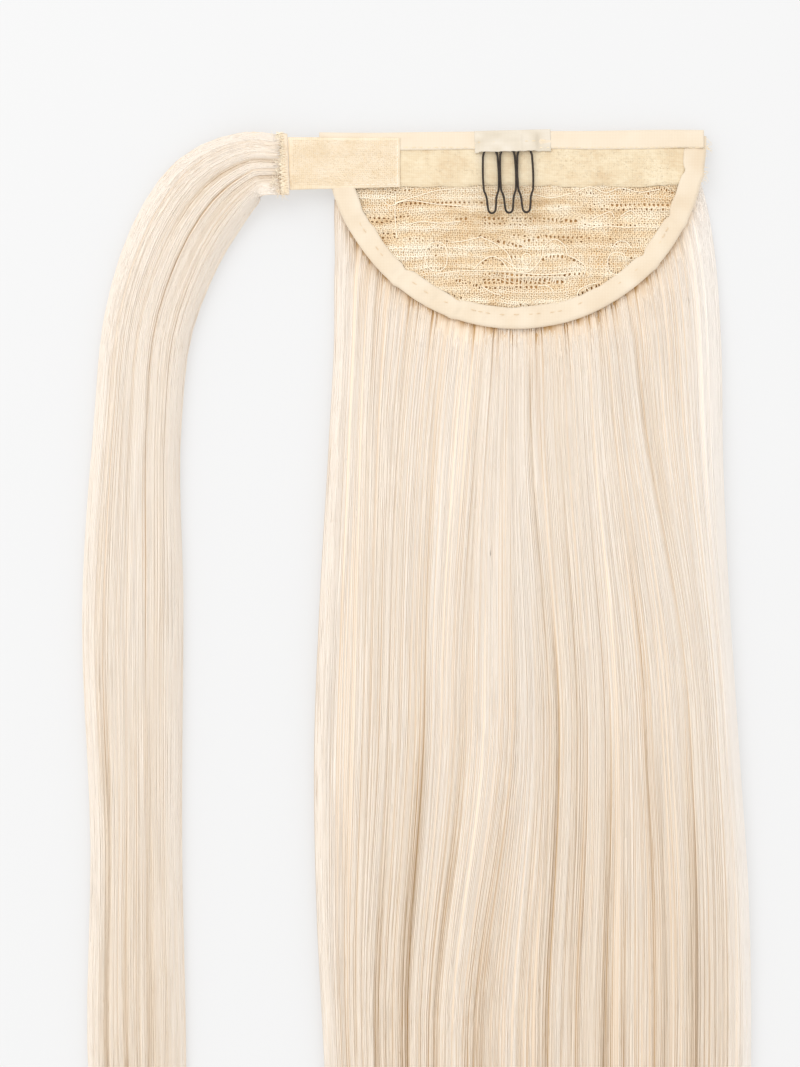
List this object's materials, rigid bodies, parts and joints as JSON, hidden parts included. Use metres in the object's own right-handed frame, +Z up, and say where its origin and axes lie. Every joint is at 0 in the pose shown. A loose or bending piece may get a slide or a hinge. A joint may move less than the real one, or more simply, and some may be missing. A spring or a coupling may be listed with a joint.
{
  "type": "ponytail hairpiece",
  "caption": "Wrap-around ponytail hairpiece: half-round lace base with a wire comb, a hook-and-loop strap, a wrapping strand and a long fall of straight hair.",
  "frame": {"origin": "on the surface the hairpiece lies on, below the middle of its box", "axes": "+Y from the hair tips to the straight edge of the base, +Z up out of the lace side, +X to the right"},
  "size_m": [0.2694, 0.561, 0.0136],
  "materials": {
    "lace": "knitted lace net, matt",
    "tape": "folded woven tape, slight sheen",
    "loop_tape": "fuzzy loop pile, matt",
    "hook_tape": "fine hook tape, matt",
    "gauze": "thin sheer gauze, matt",
    "weft_thread": "stitched thread, matt",
    "wire": "dark enamelled spring wire, satin",
    "hair": "straight synthetic hair fibre, soft sheen"
  },
  "bodies": {
    "root": {"lace_base": "lace", "curved_binding": "tape", "top_binding": "tape", "loop_strip": "loop_tape", "hook_strap": "hook_tape", "wrap_head": "weft_thread", "weft_track_1": "weft_thread", "weft_track_2": "weft_thread", "weft_track_3": "weft_thread", "weft_track_4": "weft_thread", "weft_track_5": "weft_thread", "weft_track_6": "weft_thread", "weft_track_7": "weft_thread", "wire_comb": "wire", "comb_patch": "gauze", "hair_fall": "hair", "wrap_strand": "hair"}
  },
  "joints": []
}
